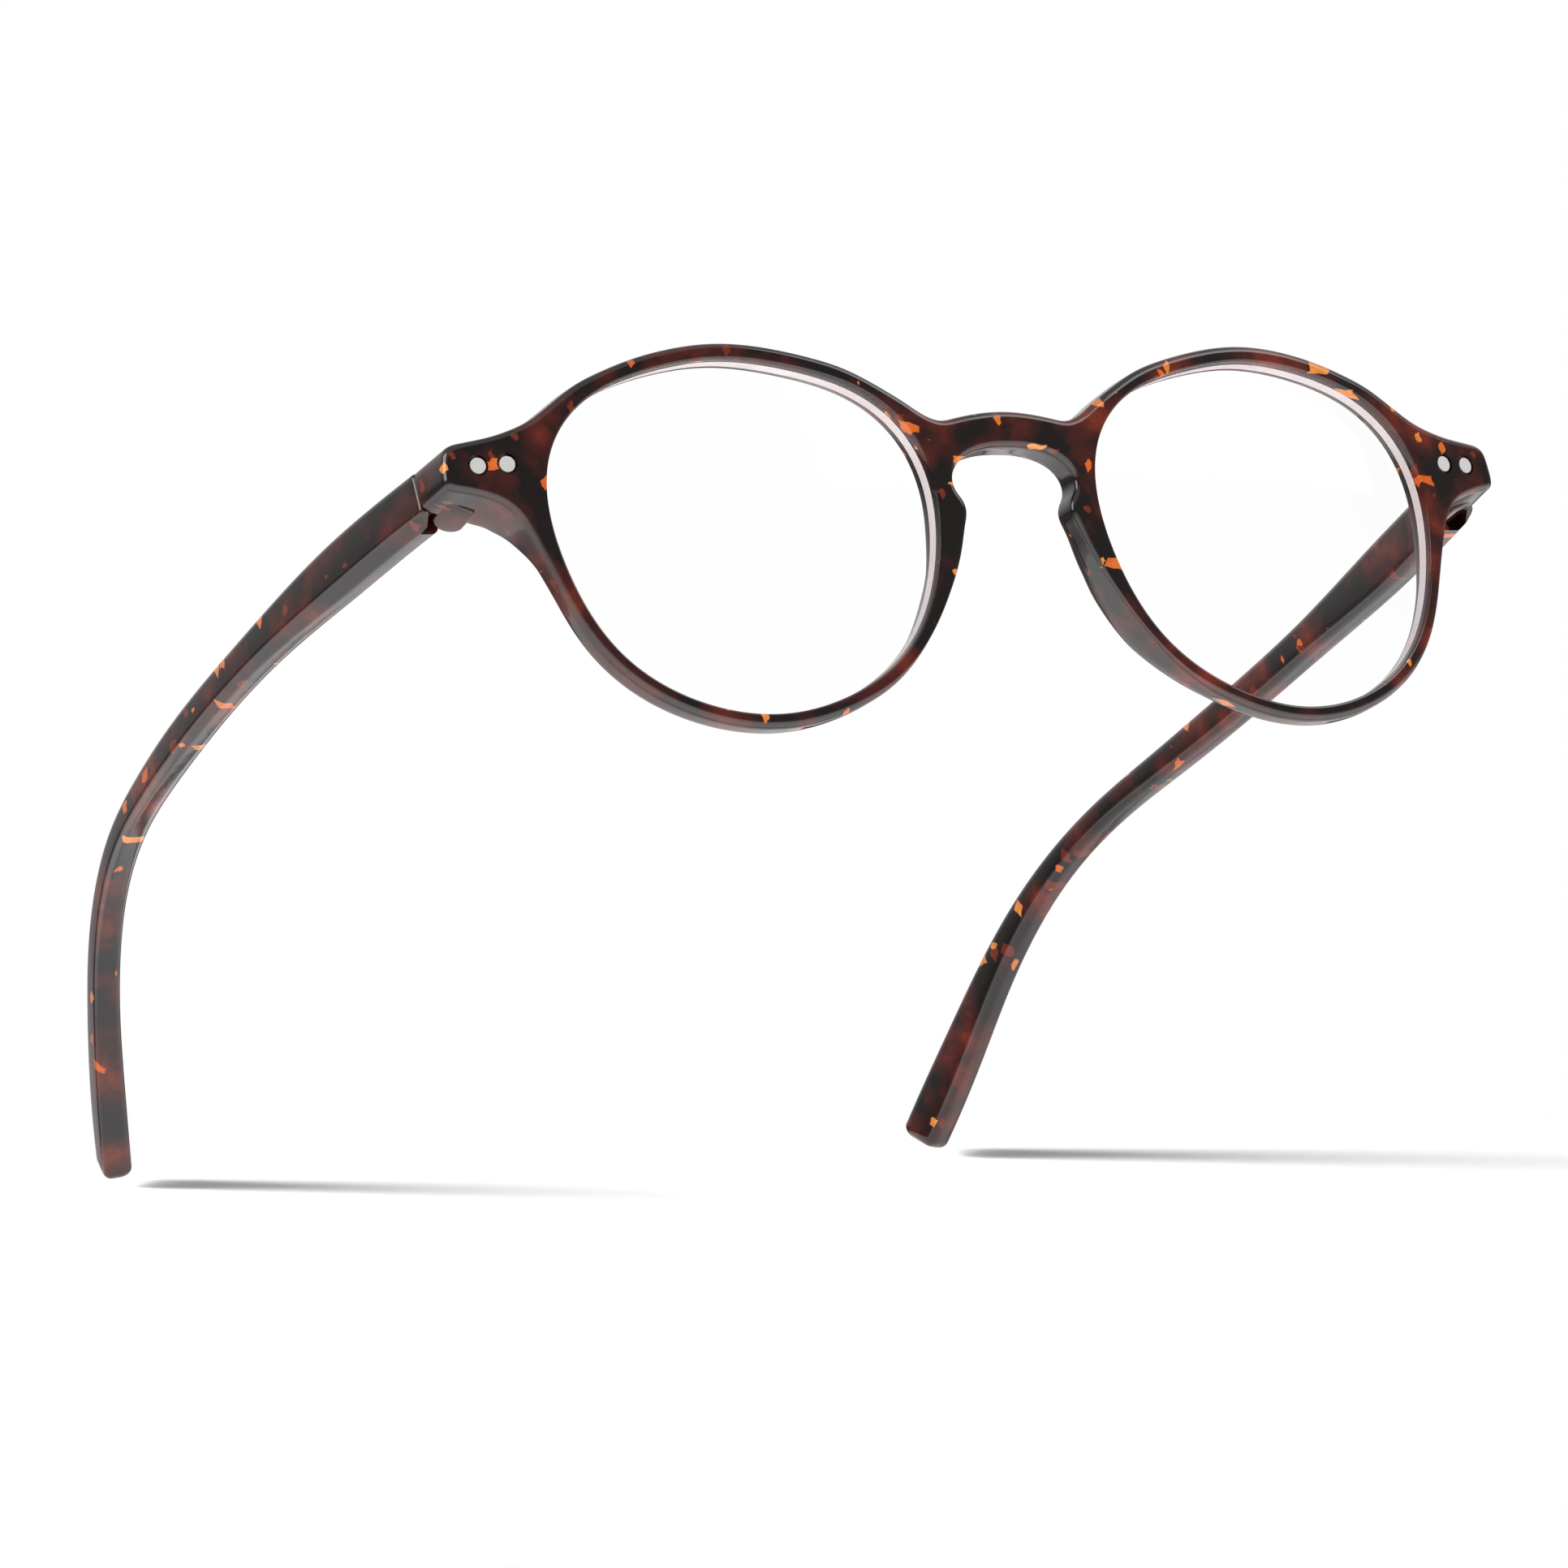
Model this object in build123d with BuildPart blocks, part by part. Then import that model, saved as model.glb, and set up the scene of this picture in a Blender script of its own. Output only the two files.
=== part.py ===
from build123d import *
from math import atan2, cos, radians, sin
import os

os.makedirs("parts", exist_ok=True)

# Full-rim reading glasses standing open on a table, resting on the rim bottoms and the temple tips.
# +Z up, front towards -Y, temples towards +Y, X across; _right is the wearer's right, on -X.
# The front is drawn upright in its own plane (X across, Z up, Y back), then tilted into the rest pose.

# ---- rest pose ----
TILT = 7.0
LIFT = 17.21
REST = Location((0, 0, LIFT), (TILT, 0, 0))
MIDDLE_Y = 64.33
STAND = Location((0, -MIDDLE_Y, 0))

# ---- front ----
WRAP_R = 380.0
RIM_DEPTH = 3.5
RIM_WIDTH = 1.9
LOW_RIM_WIDTH = 1.65
EYE_X = 34.2
EYE_Z = 5.2
BRIDGE_TOP = [(0, 18.5), (4.2, 18.15), (6.6, 17.7), (8.2, 17.5), (9.9, 18.0), (12.2, 19.5)]
NOSE = [(0, 14.3), (2.6, 14.15), (5.2, 13.5), (7.0, 12.4), (7.9, 10.9), (7.8, 9.4), (7.1, 8.2), (6.85, 7.0),
        (7.3, 5.4), (8.1, 3.2), (9.1, 0.8), (10.6, -2.0), (12.4, -4.9), (14.8, -8.1), (17.4, -10.9)]
END_TOP = [(52.1, 22.6), (54.2, 21.3), (56.2, 19.95), (58.2, 18.75), (60.5, 17.85), (63.0, 17.2), (66.0, 16.75),
           (68.5, 16.4)]
END_BOTTOM = [(69.15, 11.3), (67.3, 11.05), (64.6, 10.35), (62.6, 9.4), (61.1, 7.9), (59.95, 5.6), (58.8, 2.6)]

# ---- nose pads ----
PAD_BACK = 5.4
PAD_FACE = [(7.6, 9.4), (6.95, 8.2), (6.7, 7.0), (7.12, 5.3), (7.92, 3.1), (8.92, 0.7), (10.42, -2.1),
            (12.25, -5.0), (14.68, -8.2), (16.3, -10.0)]
PAD_RIM = [(17.3, -9.0), (15.9, -7.3), (13.7, -4.0), (12.2, -1.0), (11.2, 2.0), (10.5, 5.5), (10.2, 8.0), (9.4, 9.6)]

# ---- hinge, in the rest pose ----
AXIS_X = 65.85
AXIS_Y = 10.92
SEAM_Y = 10.12
STACK_LOW = 29.6
STACK_HIGH = 33.0
BARREL_R = 1.6
BARREL_H = 0.95
TONGUE_R = 1.65
SCREW_R = 0.6
HEAD_R = 1.05
HEAD_T = 0.5
GAP = 0.05
END_X = 69.35
BOSS_Y = 8.9
BOSS_LOW = 28.5
SLOT_Y = 8.1
SLOT_BACK = 13.3
ARM_X = (64.95, 66.4)
ARM_Y = 8.15
NECK_X = 68.25
NECK_Y = 12.77

# ---- rivets and leaf plate, square to the front surface ----
RIVET_X = {"inner": 61.55, "outer": 64.9}
RIVET_Z = 13.9
RIVET_R = 0.9
RIVET_SHANK_R = 0.6
RIVET_WELL_R = 1.15
RIVET_WELL = 0.35
RIVET_HEAD_T = 0.95
RIVET_SUNK = 0.05
RIVET_TAIL_R = 0.85
RIVET_TAIL_T = 0.25
PLATE_DEPTH = 4.2
PLATE_T = 0.8
PLATE_W = 5.4
PLATE_H = 3.4
PLATE_X = 63.3
PLATE_Z = 13.05
WRAP_TURN = 9.4

# ---- spring hinge inside the temple ----
ROD_X = 67.7
ROD_Y = 12.87
ROD_Z = 31.3
ROD_TURN = 6.3
ROD_R = 0.35
HOUSING_L = 9.0
HOUSING_W = 2.2
HOUSING_H = 2.9
BORE_R = 0.9
BORE_L = 8.2
TAIL_L = 6.5
TAIL_W = 1.3
TAIL_H = 2.0
RIB_W = 1.9
RIB_H = 2.7
RIB_L = 0.6
RIB_COUNT = 4
STOP_U = 0.2
STOP_L = 1.0
STOP_R = 0.88
STOP_HOLE_R = 0.4
SPRING_L = 5.3
SPRING_R = 0.6
SPRING_TURNS = 8
WIRE_R = 0.13
NUT_U = 6.8
NUT_L = 0.8
NUT_R = 0.8

# ---- temple ----
STATIONS = [(-2, 6.1, 3.8), (8, 6.1, 3.8), (18, 6.0, 3.7), (28, 5.2, 3.65), (38, 4.35, 3.6), (50, 4.05, 3.5),
            (62, 3.85, 3.5), (74, 3.45, 3.4), (83, 3.3, 3.4), (92, 3.4, 3.3), (101, 3.7, 3.3), (110, 4.2, 3.3),
            (119, 4.8, 3.5), (125.5, 5.2, 3.6), (128.6, 4.6, 3.2), (130.2, 3.0, 2.2), (130.9, 1.4, 1.2)]
TEMPLE_START = (67.45, 10.07, 30.78)
NOTCH_X = 68.4
NOTCH_Y = 12.87

# ---- lens ----
LENS_GROOVE = 0.55
LENS_FRONT_R = 130.0
LENS_BACK_R = 190.0
LENS_BULGE = 0.4
LENS_CENTRE_T = 2.0
LENS_CLEARANCE = 0.02


def eye_radius(t):
    low = 22 + 1.65 * cos(2 * t) - 0.16 * cos(3 * t) + 0.80 * sin(3 * t)
    return low - 0.24 * cos(4 * t) + 0.20 * sin(5 * t) - 0.19 * cos(6 * t)


def eye_point(degrees, grow):
    t = radians(degrees)
    r = eye_radius(t) + grow
    return (EYE_X + r * cos(t), EYE_Z + r * sin(t))


def add_pieces(curve, count):
    for i in range(count):
        add(curve.trim(i / count, (i + 1) / count))


def on_cylinder(edge, radius):
    spots = [edge @ t for t in (0.1, 0.5, 0.9)]
    return all(abs((p.X ** 2 + (p.Y - WRAP_R) ** 2) ** 0.5 - radius) < 0.01 for p in spots)


def mirrored(points):
    return [(-x, z) for x, z in reversed(points) if x > 0] + points


def surface_y(x):
    return x * x / (2 * WRAP_R)


# ---- half of the front blank: outline in its own plane, wrapped between two coaxial cylinders ----
TOP_LINE = mirrored(BRIDGE_TOP + [eye_point(a, RIM_WIDTH) for a in range(140, 50, -11)] + END_TOP)
LOW_LINE = mirrored(NOSE + [eye_point(a, LOW_RIM_WIDTH) for a in range(-127, -10, 12)] + END_BOTTOM[::-1])

top_curve = Edge.make_spline([Vector(x, z) for x, z in TOP_LINE])
low_curve = Edge.make_spline([Vector(x, z) for x, z in LOW_LINE])
ring_curve = Edge.make_spline([Vector(*eye_point(9 * i, 0)) for i in range(40)], periodic=True)


def is_outer(edge):
    p = edge @ 0.5
    reach = ((p.X - EYE_X) ** 2 + (p.Z - EYE_Z) ** 2) ** 0.5
    return p.X > 0.01 and reach > eye_radius(atan2(p.Z - EYE_Z, p.X - EYE_X)) + 1


with BuildPart() as blank:
    with BuildSketch(Plane.XZ.offset(-15)):
        with BuildLine():
            add_pieces(top_curve.trim(0.5, 1), 4)
            add_pieces(low_curve.trim(0.5, 1), 6)
            Line(top_curve @ 0.5, low_curve @ 0.5)
            Line(top_curve @ 1, low_curve @ 1)
        outline = make_face()
        corners = [v for v in outline.vertices() if v.X > 68]
        fillet(corners, 0.7)
        with BuildLine():
            add_pieces(ring_curve, 8)
        make_face(mode=Mode.SUBTRACT)
    extrude(amount=25)
    with Locations((0, WRAP_R, 0)):
        Cylinder(WRAP_R, 200, mode=Mode.INTERSECT)
        Cylinder(WRAP_R - RIM_DEPTH, 200, mode=Mode.SUBTRACT)
    for radius, fillet_r in ((WRAP_R, 0.6), (WRAP_R - RIM_DEPTH, 0.5)):
        rounded = [e for e in edges() if on_cylinder(e, radius) and is_outer(e)]
        fillet(rounded, fillet_r)


def rested(plane):
    return Plane(REST * plane.location)


def front_plane(x, z):
    turn = radians(WRAP_TURN)
    across = (cos(turn), sin(turn), 0)
    return rested(Plane(origin=(x, surface_y(x), z), x_dir=across, z_dir=(sin(turn), -cos(turn), 0)))


def disc(plane, near, far, radius):
    with BuildPart() as body:
        with BuildSketch(plane.offset(near)):
            Circle(radius)
        extrude(amount=far - near)
    return body.part


def block_between(x_low, x_high, y_low, y_high, z_low, z_high):
    with BuildPart() as body:
        with Locations(((x_low + x_high) / 2, (y_low + y_high) / 2, (z_low + z_high) / 2)):
            Box(x_high - x_low, y_high - y_low, z_high - z_low)
    return body.part


def axis_disc(low, high, radius):
    return disc(Plane(origin=(AXIS_X, AXIS_Y, 0)), low, high, radius)


# ---- hinge leaf plate: a riveted plate sunk into the back of the end piece ----
def plate_body(behind):
    with BuildPart() as plate:
        with BuildSketch(front_plane(PLATE_X, PLATE_Z).offset(-PLATE_DEPTH)):
            RectangleRounded(PLATE_W, PLATE_H, 0.5)
        extrude(amount=-PLATE_T - behind)
    return plate.part


def end_block():
    left = AXIS_X - TONGUE_R
    right = AXIS_X + TONGUE_R
    top_plane = rested(Plane(origin=(64, 6, 16.9), z_dir=(0.15, 0.17, 1)))
    low_plane = rested(Plane(origin=(67.3, 6, 11.1), z_dir=(-0.40, 0.19, 1)))
    with BuildPart() as block:
        with BuildSketch(Plane.XY.offset(20)):
            with BuildLine():
                Polyline((58.8, 5.2), (59.6, BOSS_Y), (left, BOSS_Y), (left, AXIS_Y))
                ThreePointArc((left, AXIS_Y), (AXIS_X, AXIS_Y + TONGUE_R), (right, AXIS_Y))
                Polyline((right, AXIS_Y), (right, SEAM_Y), (END_X, SEAM_Y), (68.85, 1.5), (58.8, 0.5), (58.8, 5.2))
            make_face()
        extrude(amount=20)
        with Locations(REST * Location((0, WRAP_R, 0))):
            Cylinder(WRAP_R, 200, mode=Mode.INTERSECT)
        split(bisect_by=top_plane, keep=Keep.BOTTOM)
        split(bisect_by=low_plane, keep=Keep.TOP)
        outer_edges = [e for e in edges() if (e @ 0).X > 68.7 and (e @ 1).X > 68.7]
        fillet(outer_edges, 0.6)
    return block.part - block_between(50, left - 0.1, 0, 20, 20, BOSS_LOW)


# ---- nose pads moulded on the inner rims ----
def nose_pad():
    with BuildPart() as pad:
        with BuildSketch(Plane.XZ.offset(-PAD_BACK)):
            with BuildLine():
                face_line = Spline(*PAD_FACE)
                rim_line = Spline(*PAD_RIM)
                Line(face_line @ 1, rim_line @ 0)
                Line(rim_line @ 1, face_line @ 0)
            outline = make_face()
            fillet(outline.vertices(), 0.55)
        extrude(amount=PAD_BACK - 1.0)
        fillet(faces().sort_by(Axis.Y)[-1].edges(), 0.5)
    return pad.part


def lens_body(clearance):
    centre_y = surface_y(EYE_X) - LENS_BULGE
    back_dir = Vector(-EYE_X / WRAP_R, 1, 0).normalized()
    apex = Vector(EYE_X, centre_y, EYE_Z)
    with BuildPart() as body:
        with BuildSketch(Plane.XZ.offset(-15)):
            with BuildLine():
                Spline(*[eye_point(18 * i, LENS_GROOVE + clearance) for i in range(20)], periodic=True)
            make_face()
        extrude(amount=25)
        with Locations(apex + back_dir * LENS_FRONT_R):
            Sphere(LENS_FRONT_R + clearance, mode=Mode.INTERSECT)
        with Locations(apex + back_dir * (LENS_BACK_R + LENS_CENTRE_T)):
            Sphere(LENS_BACK_R - clearance, mode=Mode.SUBTRACT)
    return body.part.moved(REST)


# ---- rivets: satin heads in dark wells on the front, peened behind the leaf plate ----
def rivet_body(x):
    plane = front_plane(x, RIVET_Z)
    plate_back = PLATE_DEPTH + PLATE_T
    head = disc(plane, -RIVET_SUNK, -RIVET_HEAD_T, RIVET_R)
    shank = disc(plane, -RIVET_HEAD_T, -plate_back, RIVET_SHANK_R)
    tail = disc(plane, -plate_back, -plate_back - RIVET_TAIL_T, RIVET_TAIL_R)
    return head + shank + tail


def rivet_cut(x):
    plane = front_plane(x, RIVET_Z)
    well = disc(plane, 1.5, -RIVET_WELL, RIVET_WELL_R)
    seat = disc(plane, 0, -RIVET_HEAD_T, RIVET_R)
    hole = disc(plane, -RIVET_HEAD_T, -PLATE_DEPTH - 0.1, RIVET_SHANK_R)
    return well + seat + hole


# ---- spring hinge pieces along the rod ----
rod_turn = radians(ROD_TURN)
ROD = Plane(origin=(ROD_X, ROD_Y, ROD_Z), x_dir=(cos(rod_turn), -sin(rod_turn), 0),
            z_dir=(sin(rod_turn), cos(rod_turn), 0))


def rod_box(near, far, width, height):
    with BuildPart() as body:
        with BuildSketch(ROD.offset(near)):
            RectangleRounded(width, height, 0.25)
        extrude(amount=far - near)
    return body.part


def housing_shape():
    shape = rod_box(0, HOUSING_L, HOUSING_W, HOUSING_H)
    shape += rod_box(HOUSING_L, HOUSING_L + TAIL_L, TAIL_W, TAIL_H)
    for i in range(RIB_COUNT):
        start = HOUSING_L + 1.0 + i * (TAIL_L - 1.0) / RIB_COUNT
        shape += rod_box(start, start + RIB_L, RIB_W, RIB_H)
    return shape


# ---- temple centre line: bows outward behind the hinge, then dips and turns in to the tip ----
def smooth(t):
    t = min(max(t, 0), 1)
    return 3 * t * t - 2 * t ** 3


def heading(s):
    return radians(8.0 - 0.205 * s - 0.04 * max(0, s - 45))


def dip(s):
    return radians(0.5 + 0.05 * min(s, 70) + 39 * smooth((s - 70) / 48))


def temple_point(length):
    spot = Vector(*TEMPLE_START)
    steps = max(1, int(abs(length) / 0.5))
    ds = length / steps
    for i in range(steps):
        s = (i + 0.5) * ds
        spot += Vector(sin(heading(s)) * cos(dip(s)), cos(heading(s)) * cos(dip(s)), -sin(dip(s))) * ds
    return spot


def temple_plane(s):
    across = (cos(heading(s)), -sin(heading(s)), 0)
    along = (sin(heading(s)) * cos(dip(s)), cos(heading(s)) * cos(dip(s)), -sin(dip(s)))
    return Plane(origin=temple_point(s), x_dir=across, z_dir=along)


def temple_blank():
    with BuildPart() as blank_arm:
        for s, height, thick in STATIONS:
            with BuildSketch(temple_plane(s)):
                RectangleRounded(thick, height, 0.26 * min(thick, height))
        loft()
    return blank_arm.part


# ---- front: rims, bridge, pads and end pieces in one moulding ----
screw_cut = axis_disc(STACK_HIGH, STACK_HIGH + 3, HEAD_R + GAP)
slot_cut = block_between(AXIS_X - TONGUE_R - 0.1, AXIS_X + TONGUE_R + 0.1, SLOT_Y, SLOT_BACK, STACK_LOW, STACK_HIGH)
half_front = blank.part.moved(REST) + nose_pad().moved(REST) - lens_body(LENS_CLEARANCE)
half_front = half_front + (end_block() - plate_body(3.0) - slot_cut - screw_cut)
half_front = half_front - plate_body(3.0) - rivet_cut(RIVET_X["inner"]) - rivet_cut(RIVET_X["outer"])

with BuildPart() as front_frame:
    add(half_front)
    mirror(half_front, about=Plane.YZ)

# ---- lens ----
with BuildPart() as lens_left:
    add(lens_body(0))

# ---- hinge leaf: plate, two arms and two barrels around the middle barrel of the slider ----
low_barrel = axis_disc(STACK_LOW, STACK_LOW + BARREL_H, BARREL_R)
high_barrel = axis_disc(STACK_HIGH - BARREL_H, STACK_HIGH, BARREL_R)
low_arm = block_between(ARM_X[0], ARM_X[1], ARM_Y, AXIS_Y, STACK_LOW, STACK_LOW + BARREL_H)
high_arm = block_between(ARM_X[0], ARM_X[1], ARM_Y, AXIS_Y, STACK_HIGH - BARREL_H, STACK_HIGH)
rivet_holes = [disc(front_plane(x, RIVET_Z), 0, -8, RIVET_SHANK_R) for x in RIVET_X.values()]

with BuildPart() as hinge_leaf_left:
    add([plate_body(0), low_arm, high_arm, low_barrel, high_barrel])
    add(rivet_holes, mode=Mode.SUBTRACT)
    add(axis_disc(STACK_LOW, STACK_LOW + BARREL_H, SCREW_R), mode=Mode.SUBTRACT)
    add(axis_disc(STACK_HIGH - BARREL_H, STACK_HIGH, SCREW_R + GAP), mode=Mode.SUBTRACT)

# ---- rivets ----
with BuildPart() as rivet_inner_left:
    add(rivet_body(RIVET_X["inner"]))

with BuildPart() as rivet_outer_left:
    add(rivet_body(RIVET_X["outer"]))

# ---- hinge screw with a slotted head ----
with BuildPart() as hinge_screw_left:
    add(axis_disc(STACK_LOW + GAP, STACK_HIGH, SCREW_R))
    add(axis_disc(STACK_HIGH, STACK_HIGH + HEAD_T, HEAD_R))
    with Locations((AXIS_X, AXIS_Y, STACK_HIGH + HEAD_T)):
        Box(2.4, 0.3, 0.4, mode=Mode.SUBTRACT)

# ---- slider: middle barrel, neck and rod in one piece ----
middle_low = STACK_LOW + BARREL_H + GAP
middle_high = STACK_HIGH - BARREL_H - GAP
with BuildPart() as hinge_slider_left:
    add(axis_disc(middle_low, middle_high, BARREL_R))
    add(block_between(AXIS_X, NECK_X, AXIS_Y, NECK_Y, middle_low, middle_high))
    add(axis_disc(middle_low, middle_high, SCREW_R + GAP), mode=Mode.SUBTRACT)
    add(disc(ROD, -0.5, NUT_U + NUT_L, ROD_R))

with BuildPart() as slider_nut_left:
    add(disc(ROD, NUT_U, NUT_U + NUT_L, NUT_R))
    add(disc(ROD, NUT_U, NUT_U + NUT_L, ROD_R), mode=Mode.SUBTRACT)

with BuildPart() as spring_stop_left:
    add(disc(ROD, STOP_U, STOP_U + STOP_L, BORE_R))
    add(disc(ROD, STOP_U, STOP_U + STOP_L, STOP_HOLE_R), mode=Mode.SUBTRACT)

# ---- flex spring between the stop and the nut ----
spring_foot = ROD.offset(STOP_U + STOP_L + WIRE_R + 0.02)
with BuildPart() as hinge_spring_left:
    with BuildLine():
        coil = Helix(pitch=SPRING_L / SPRING_TURNS, height=SPRING_L, radius=SPRING_R, center=spring_foot.origin,
                     direction=spring_foot.z_dir)
    with BuildSketch(Plane(origin=coil @ 0, z_dir=coil % 0)):
        Circle(WIRE_R)
    sweep(path=coil, is_frenet=True)

with BuildPart() as hinge_housing_left:
    add(housing_shape())
    add(disc(ROD, 0, BORE_L, BORE_R), mode=Mode.SUBTRACT)

# ---- temple ----
with BuildPart() as temple_left:
    add(temple_blank())
    add(block_between(60, 75, 0, SEAM_Y + GAP, 20, 40), mode=Mode.SUBTRACT)
    add(block_between(60, NOTCH_X, 0, NOTCH_Y, 20, 40), mode=Mode.SUBTRACT)
    with BuildSketch(Plane.YZ.offset(60)):
        Polygon((9.1, 30.64), (11.92, 26.75), (9.1, 26.75), align=None)
    extrude(amount=15, mode=Mode.SUBTRACT)
    add(housing_shape(), mode=Mode.SUBTRACT)

LEFT_PIECES = {
    "lens": lens_left,
    "hinge_leaf": hinge_leaf_left,
    "rivet_inner": rivet_inner_left,
    "rivet_outer": rivet_outer_left,
    "hinge_screw": hinge_screw_left,
    "hinge_slider": hinge_slider_left,
    "slider_nut": slider_nut_left,
    "spring_stop": spring_stop_left,
    "hinge_spring": hinge_spring_left,
    "hinge_housing": hinge_housing_left,
    "temple": temple_left,
}

# ---- export, with the origin on the table under the middle of the whole ----
front_frame.part = front_frame.part.moved(STAND)
front_frame.part.label = "front_frame"
export_step(front_frame.part, "parts/front_frame.step")

for name, piece in LEFT_PIECES.items():
    piece.part = piece.part.moved(STAND)
    with BuildPart() as twin:
        mirror(piece.part, about=Plane.YZ)
    piece.part.label = name + "_left"
    twin.part.label = name + "_right"
    export_step(piece.part, "parts/" + name + "_left.step")
    export_step(twin.part, "parts/" + name + "_right.step")
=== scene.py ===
import math

import bmesh
import bpy
import numpy as np
from mathutils import Matrix, Vector
from mathutils.geometry import delaunay_2d_cdt


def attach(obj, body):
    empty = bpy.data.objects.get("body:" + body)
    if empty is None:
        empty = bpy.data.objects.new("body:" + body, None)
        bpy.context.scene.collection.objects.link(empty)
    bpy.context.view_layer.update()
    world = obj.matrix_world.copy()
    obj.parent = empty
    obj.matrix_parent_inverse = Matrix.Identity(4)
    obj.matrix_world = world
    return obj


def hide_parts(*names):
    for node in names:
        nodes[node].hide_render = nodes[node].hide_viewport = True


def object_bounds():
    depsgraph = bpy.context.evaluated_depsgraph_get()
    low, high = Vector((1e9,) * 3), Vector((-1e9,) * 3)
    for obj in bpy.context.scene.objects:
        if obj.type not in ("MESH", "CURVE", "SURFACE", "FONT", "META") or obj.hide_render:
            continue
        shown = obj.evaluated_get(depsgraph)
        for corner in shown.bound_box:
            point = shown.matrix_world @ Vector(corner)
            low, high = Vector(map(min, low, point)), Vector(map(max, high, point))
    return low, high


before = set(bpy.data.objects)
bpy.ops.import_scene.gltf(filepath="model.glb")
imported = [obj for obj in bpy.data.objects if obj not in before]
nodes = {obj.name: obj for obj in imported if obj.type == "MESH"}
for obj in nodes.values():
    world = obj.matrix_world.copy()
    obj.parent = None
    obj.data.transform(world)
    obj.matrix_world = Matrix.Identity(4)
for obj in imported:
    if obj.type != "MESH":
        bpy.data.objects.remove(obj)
cad_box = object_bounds()
MM = 0.001

# ---- camera: a long lens below and in front of the glasses, on the wearer's right ----
CAMERA_AT = Vector((-675.62, -1018.51, -421.51)) * MM
CAMERA_FORWARD = Vector((0.52229, 0.78247, 0.33904))
CAMERA_RIGHT = Vector((0.85264, -0.47219, -0.22372))
LENS_MM = 259.95
SENSOR_MM = 36.0


def link(obj):
    bpy.context.scene.collection.objects.link(obj)
    return obj


def add_camera():
    data = bpy.data.cameras.new("camera")
    data.lens = LENS_MM
    data.sensor_width = SENSOR_MM
    data.clip_start = 0.01
    data.clip_end = 20
    camera = link(bpy.data.objects.new("camera", data))
    forward = CAMERA_FORWARD.normalized()
    right = (CAMERA_RIGHT - forward * CAMERA_RIGHT.dot(forward)).normalized()
    up = right.cross(forward)
    turn = Matrix((right, up, -forward)).transposed()
    camera.matrix_world = Matrix.Translation(CAMERA_AT) @ turn.to_4x4()
    bpy.context.scene.camera = camera


# ---- outlines of the front, upright in its own plane ----
# x runs across, z up, and depth runs back from the front surface.
TILT = math.radians(7.0)
LIFT = 17.21
MIDDLE_Y = 64.33
WRAP_R = 380.0
EYE_X = 34.2
EYE_Z = 5.2
RIM_WIDTH = 1.9
LOW_RIM_WIDTH = 1.65
BRIDGE_TOP = [(0, 18.5), (4.2, 18.15), (6.6, 17.7), (8.2, 17.5), (9.9, 18.0), (12.2, 19.5)]
NOSE = [(0, 14.3), (2.6, 14.15), (5.2, 13.5), (7.0, 12.4), (7.9, 10.9), (7.8, 9.4), (7.1, 8.2), (6.85, 7.0),
        (7.3, 5.4), (8.1, 3.2), (9.1, 0.8), (10.6, -2.0), (12.4, -4.9), (14.8, -8.1), (17.4, -10.9)]
END_TOP = [(52.1, 22.6), (54.2, 21.3), (56.2, 19.95), (58.2, 18.75), (60.5, 17.85), (63.0, 17.2),
           (66.0, 16.75), (68.5, 16.4)]
END_BOTTOM = [(69.15, 11.3), (67.3, 11.05), (64.6, 10.35), (62.6, 9.4), (61.1, 7.9), (59.95, 5.6),
              (58.8, 2.6)]
OUTLINE_STEP = 0.32
FINE_STEP = 0.1
GRID_STEP = 0.7
FULL_DEPTH = 3.5
LOW_DEPTH = 3.0
END_ZONE = (60.0, 64.0)
CORNER_ZONE = (66.6, 67.8)
CORNER_ROUNDS = 22
EYE_SAMPLES = 1200


def eye_radius(t):
    low = 22 + 1.65 * np.cos(2 * t) - 0.16 * np.cos(3 * t) + 0.80 * np.sin(3 * t)
    return low - 0.24 * np.cos(4 * t) + 0.20 * np.sin(5 * t) - 0.19 * np.cos(6 * t)


def eye_point(degrees, grow):
    t = math.radians(degrees)
    r = eye_radius(t) + grow
    return (EYE_X + r * math.cos(t), EYE_Z + r * math.sin(t))


def mirrored(points):
    return [(-x, z) for x, z in reversed(points) if x > 0] + points


def smoothstep(value, low, high):
    t = np.clip((value - low) / (high - low), 0, 1)
    return t * t * (3 - 2 * t)


def spline_through(points, step):
    p = np.array(points, float)
    h = np.linalg.norm(np.diff(p, axis=0), axis=1)
    n = len(p)
    a = np.zeros((n, n))
    b = np.zeros((n, 2))
    a[0, 0] = a[-1, -1] = 1
    for i in range(1, n - 1):
        a[i, i - 1:i + 2] = h[i - 1], 2 * (h[i - 1] + h[i]), h[i]
        b[i] = 6 * ((p[i + 1] - p[i]) / h[i] - (p[i] - p[i - 1]) / h[i - 1])
    m = np.linalg.solve(a, b)
    out = []
    for i in range(n - 1):
        for u in np.linspace(0, 1, max(2, int(h[i] / step) + 1), endpoint=False):
            w = 1 - u
            bend = (w ** 3 - w) * m[i] + (u ** 3 - u) * m[i + 1]
            out.append(w * p[i] + u * p[i + 1] + h[i] ** 2 / 6 * bend)
    out.append(p[-1])
    return np.array(out)


def resampled(loop, step):
    closed = np.vstack([loop, loop[:1]])
    run = np.r_[0, np.cumsum(np.linalg.norm(np.diff(closed, axis=0), axis=1))]
    places = np.linspace(0, run[-1], int(run[-1] / step), endpoint=False)
    return np.stack([np.interp(places, run, closed[:, k]) for k in (0, 1)], axis=1)


def rounded_at(loop, weight, rounds):
    for _ in range(rounds):
        middle = (np.roll(loop, 1, axis=0) + np.roll(loop, -1, axis=0)) / 2
        loop = loop + (weight * 0.5)[:, None] * (middle - loop)
    return loop


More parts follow.
